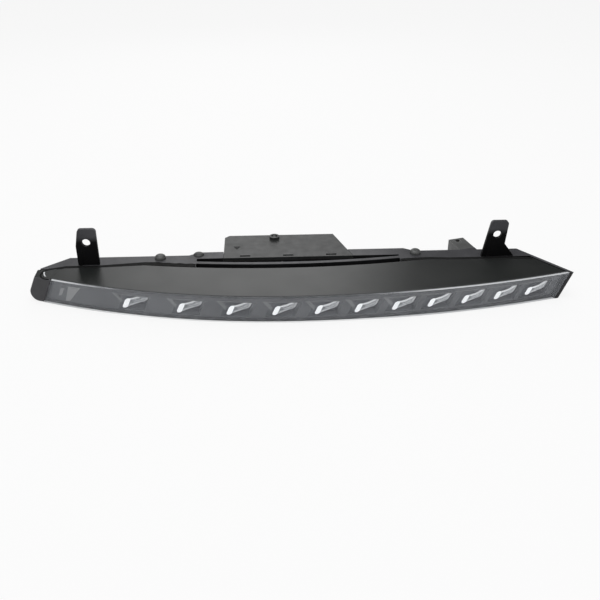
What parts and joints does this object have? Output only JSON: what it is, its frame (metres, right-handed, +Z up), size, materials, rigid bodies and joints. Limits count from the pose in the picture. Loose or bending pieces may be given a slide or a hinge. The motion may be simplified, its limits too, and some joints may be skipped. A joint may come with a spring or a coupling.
{
  "type": "vehicle indicator lamp",
  "caption": "Bowed strip lamp for a vehicle's front bumper: clear lens over a bezel with slanted light guides, satin top panel and two upright fixing tabs.",
  "frame": {"origin": "half way between the centres of the two fixing holes, in the middle of the tabs' thickness", "axes": "+X to the right seen from the front, +Y to the back, +Z up; the lens faces -Y"},
  "size_m": [0.4575, 0.1197, 0.0565],
  "materials": {
    "black_moulding": "moulded, fine grain",
    "satin_panel": "satin, smooth",
    "clear_lens": "polished clear plastic",
    "black_rubber": "matt",
    "black_cap": "moulded, matt",
    "grey_bezel": "satin dark grey",
    "circuit_board": "lacquered",
    "bare_aluminium": "plain sheet",
    "flat_lead": "smooth",
    "black_cover": "moulded, fine grain",
    "black_connector": "moulded",
    "pin_brass": "plain",
    "vent_moulding": "moulded",
    "component_case": "matt",
    "dark_steel": "blackened",
    "clear_optic": "polished clear plastic",
    "led_case": "white"
  },
  "bodies": {
    "root": {"bezel": "grey_bezel", "board_screws": "dark_steel", "connector_pins": "pin_brass", "connector_socket": "black_connector", "cover_screw": "dark_steel", "cover_seal": "black_rubber", "driver_board": "circuit_board", "driver_capacitors": "bare_aluminium", "driver_chip": "component_case", "driver_choke": "component_case", "driver_cover": "black_cover", "end_cap": "black_cap", "heat_spreader": "bare_aluminium", "housing": "black_moulding", "led_01": "led_case", "led_02": "led_case", "led_03": "led_case", "led_04": "led_case", "led_05": "led_case", "led_06": "led_case", "led_07": "led_case", "led_08": "led_case", "led_09": "led_case", "led_10": "led_case", "led_11": "led_case", "led_board": "circuit_board", "led_lead": "flat_lead", "lens": "clear_lens", "lens_seal": "black_rubber", "optic_01": "clear_optic", "optic_02": "clear_optic", "optic_03": "clear_optic", "optic_04": "clear_optic", "optic_05": "clear_optic", "optic_06": "clear_optic", "optic_07": "clear_optic", "optic_08": "clear_optic", "optic_09": "clear_optic", "optic_10": "clear_optic", "optic_11": "clear_optic", "rim_screws": "dark_steel", "supply_lead": "black_rubber", "top_panel": "satin_panel", "vent_plug": "vent_moulding"}
  },
  "joints": []
}
